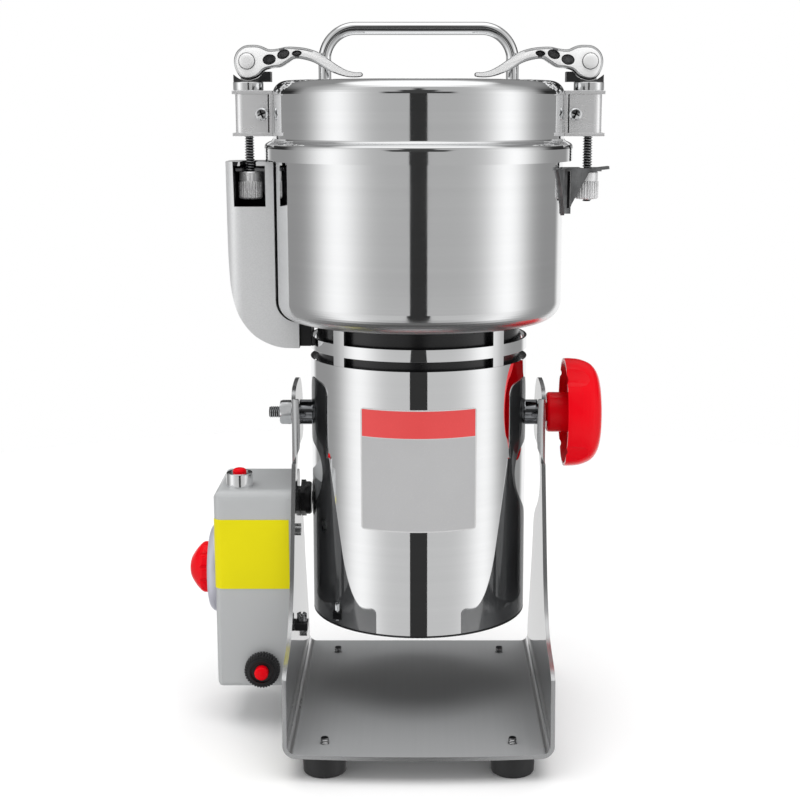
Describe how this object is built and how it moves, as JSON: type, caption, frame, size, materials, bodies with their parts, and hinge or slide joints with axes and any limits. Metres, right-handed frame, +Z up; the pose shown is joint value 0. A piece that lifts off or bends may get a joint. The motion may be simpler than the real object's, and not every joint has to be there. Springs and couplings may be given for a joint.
{
  "type": "electric grain mill",
  "caption": "Swing-type electric grain mill: steel stand with two uprights, tilting motor housing and bowl, cam-latched lid, side control box, lobed lock knob and pouring handle.",
  "frame": {"origin": "centre of the whole mill's footprint box, at floor level", "axes": "+Z up, -Y towards the front with the rating plate, +X towards the lock knob"},
  "size_m": [0.2102, 0.1656, 0.3481],
  "materials": {
    "stand_steel": "polished",
    "black_rubber": "matt",
    "hardware": "zinc plated",
    "box_paint": "satin",
    "yellow_film": "satin film",
    "dial_metal": "satin",
    "cream_plastic": "matt",
    "black_plastic": "satin",
    "bright_metal": "bright",
    "mirror_steel": "mirror polished",
    "label_film": "printed foil",
    "satin_steel": "satin",
    "dark_casting": "black enamel",
    "laminations": "stacked sheet",
    "copper": "enamelled",
    "brown_plastic": "matt",
    "carbon": "matt",
    "silver_paint": "gloss metallic",
    "blade_steel": "ground",
    "white_rubber": "smooth",
    "red_plastic": "gloss"
  },
  "bodies": {
    "base": {"base_frame": "stand_steel", "rubber_feet": "black_rubber", "foot_screws": "hardware", "control_box": "box_paint", "control_box_screws": "hardware", "notice_plate": "yellow_film", "timer_plate": "dial_metal", "timer_body": "cream_plastic", "overload_breaker": "black_plastic", "breaker_nut": "black_plastic", "button_bezel": "bright_metal", "switch_body": "black_plastic", "mains_gland": "black_plastic", "motor_gland": "black_plastic", "cable_clip": "black_plastic", "clip_screw": "hardware"},
    "mill": {"motor_housing": "mirror_steel", "housing_cap": "black_plastic", "rating_plate": "label_film", "vent_ring": "mirror_steel", "grinding_bowl": "satin_steel", "upper_bracket": "dark_casting", "shaft_bearings": "hardware", "stator_core": "laminations", "field_coils": "copper", "brush_holders": "brown_plastic", "carbon_brushes": "carbon", "pivot_bosses": "hardware", "pivot_bolt": "hardware", "pivot_nut": "hardware", "left_lug": "hardware", "right_lug": "hardware", "pouring_handle": "silver_paint", "handle_end": "black_plastic"},
    "rotor": {"motor_shaft": "hardware", "armature_core": "laminations", "commutator": "copper", "cooling_fan": "black_plastic", "lower_blade": "blade_steel", "upper_blade": "blade_steel", "blade_nut": "hardware"},
    "seal": {"lid_gasket": "white_rubber"},
    "lid": {"lid_shell": "satin_steel", "lid_liner": "satin_steel", "lid_handle": "bright_metal", "latch_brackets": "bright_metal", "latch_sleeves": "bright_metal", "latch_screws": "hardware", "latch_rods": "hardware", "lever_pins": "bright_metal", "latch_pads": "black_plastic", "latch_rings": "bright_metal"},
    "left_lever": {"left_lever": "bright_metal"},
    "right_lever": {"right_lever": "bright_metal"},
    "left_nut": {"left_latch_nut": "bright_metal"},
    "right_nut": {"right_latch_nut": "bright_metal"},
    "lock_knob": {"lock_knob": "red_plastic"},
    "timer_knob": {"timer_knob": "red_plastic"},
    "reset_button": {"reset_button": "red_plastic"},
    "power_button": {"power_button": "red_plastic"}
  },
  "joints": [
    {"name": "mill_tilt", "type": "hinge", "parent": "base", "child": "mill", "pos_m": [0.01173, 0.0082, 0.1575], "axis": [1, 0, 0], "range_deg": [0, 100]},
    {"name": "rotor_spin", "type": "hinge", "parent": "mill", "child": "rotor", "pos_m": [0.01173, 0.0082, 0.12], "axis": [0, 0, 1], "continuous": true},
    {"name": "lid_lift", "type": "slide", "parent": "mill", "child": "seal", "axis": [0, 0, 1], "range_m": [0, 0.11]},
    {"name": "lid_twist", "type": "hinge", "parent": "seal", "child": "lid", "pos_m": [0.01173, 0.0082, 0.29], "axis": [0, 0, 1], "range_deg": [0, 25]},
    {"name": "left_lever_swing", "type": "hinge", "parent": "lid", "child": "left_lever", "pos_m": [-0.07027, 0.0082, 0.3292], "axis": [0, -1, 0], "range_deg": [0, 165]},
    {"name": "right_lever_swing", "type": "hinge", "parent": "lid", "child": "right_lever", "pos_m": [0.09373, 0.0082, 0.3292], "axis": [0, 1, 0], "range_deg": [0, 165]},
    {"name": "left_nut_turn", "type": "hinge", "parent": "lid", "child": "left_nut", "pos_m": [-0.07027, 0.0082, 0.27], "axis": [0, 0, 1], "continuous": true},
    {"name": "right_nut_turn", "type": "hinge", "parent": "lid", "child": "right_nut", "pos_m": [0.09373, 0.0082, 0.27], "axis": [0, 0, 1], "continuous": true},
    {"name": "lock_turn", "type": "hinge", "parent": "mill", "child": "lock_knob", "pos_m": [0.09173, 0.0082, 0.1575], "axis": [1, 0, 0], "range_deg": [0, 270]},
    {"name": "timer_turn", "type": "hinge", "parent": "base", "child": "timer_knob", "pos_m": [-0.09827, 0.0082, 0.0767], "axis": [-1, 0, 0], "range_deg": [0, 300]},
    {"name": "reset_press", "type": "slide", "parent": "base", "child": "reset_button", "axis": [0, 1, 0], "range_m": [0, 0.0025], "stiffness_N_per_m": 300},
    {"name": "power_press", "type": "slide", "parent": "base", "child": "power_button", "axis": [0, 0, -1], "range_m": [0, 0.0025], "stiffness_N_per_m": 300}
  ]
}
